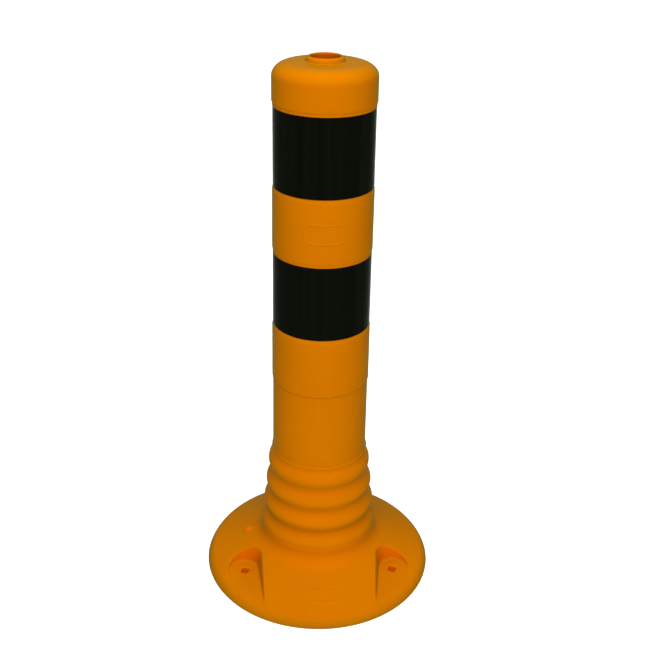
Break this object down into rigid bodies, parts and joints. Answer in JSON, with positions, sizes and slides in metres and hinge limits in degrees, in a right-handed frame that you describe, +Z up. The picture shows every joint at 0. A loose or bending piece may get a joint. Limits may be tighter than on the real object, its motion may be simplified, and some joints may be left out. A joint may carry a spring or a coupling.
{
  "type": "delineator post",
  "caption": "Flexible self-righting delineator post: hollow tube with black film bands and a domed cap, ringed bending neck and round base with bolt pockets.",
  "frame": {"origin": "on the ground, on the post's axis", "axes": "+Z up the post, -Y towards the front, between the two front bolt pockets, +X to the right seen from the front"},
  "size_m": [0.2, 0.2, 0.45],
  "materials": {
    "orange_polyurethane": "satin moulded polyurethane, through-coloured yellow-orange",
    "black_film": "glossy smooth black adhesive film"
  },
  "bodies": {
    "base": {"base_flange": "orange_polyurethane"},
    "neck_lower": {"neck_ring_lower": "orange_polyurethane"},
    "neck_middle": {"neck_ring_middle": "orange_polyurethane"},
    "neck_upper": {"neck_ring_upper": "orange_polyurethane"},
    "neck_top": {"neck_shoulder": "orange_polyurethane"},
    "tube_foot": {"tube_lower": "orange_polyurethane"},
    "post": {"tube_upper": "orange_polyurethane", "lower_land": "orange_polyurethane", "lower_film_seat": "orange_polyurethane", "lower_film": "black_film", "middle_land": "orange_polyurethane", "upper_film_seat": "orange_polyurethane", "upper_film": "black_film", "top_cap": "orange_polyurethane"}
  },
  "joints": [
    {"name": "neck_lower_fold", "type": "hinge", "parent": "base", "child": "neck_lower", "pos_m": [0, 0, 0.05457], "axis": [1, 0, 0], "range_deg": [-15.6, 15.6], "stiffness_Nm_per_rad": 60, "deforming": ["neck_ring_lower"]},
    {"name": "neck_middle_fold", "type": "hinge", "parent": "neck_lower", "child": "neck_middle", "pos_m": [0, 0, 0.07512], "axis": [0, 1, 0], "range_deg": [-15.6, 15.6], "stiffness_Nm_per_rad": 60, "deforming": ["neck_ring_middle"]},
    {"name": "neck_upper_fold", "type": "hinge", "parent": "neck_middle", "child": "neck_upper", "pos_m": [0, 0, 0.09567], "axis": [1, 0, 0], "range_deg": [-17.17, 17.17], "stiffness_Nm_per_rad": 60, "deforming": ["neck_ring_upper"]},
    {"name": "shoulder_fold", "type": "hinge", "parent": "neck_upper", "child": "neck_top", "pos_m": [0, 0, 0.11797], "axis": [0, 1, 0], "range_deg": [-21.07, 21.07], "stiffness_Nm_per_rad": 60, "deforming": ["neck_shoulder"]},
    {"name": "tube_lower_bend", "type": "hinge", "parent": "neck_top", "child": "tube_foot", "pos_m": [0, 0, 0.1445], "axis": [1, 0, 0], "range_deg": [-28.09, 28.09], "stiffness_Nm_per_rad": 60, "deforming": ["tube_lower"]},
    {"name": "tube_upper_bend", "type": "hinge", "parent": "tube_foot", "child": "post", "pos_m": [0, 0, 0.173], "axis": [0, 1, 0], "range_deg": [-24.19, 24.19], "stiffness_Nm_per_rad": 60, "deforming": ["tube_upper"]}
  ],
  "couplings": [
    {"joint": "neck_upper_fold", "follows": "neck_lower_fold", "ratio": 1.1},
    {"joint": "shoulder_fold", "follows": "neck_middle_fold", "ratio": 1.35},
    {"joint": "tube_lower_bend", "follows": "neck_lower_fold", "ratio": 1.8},
    {"joint": "tube_upper_bend", "follows": "neck_middle_fold", "ratio": 1.55}
  ]
}
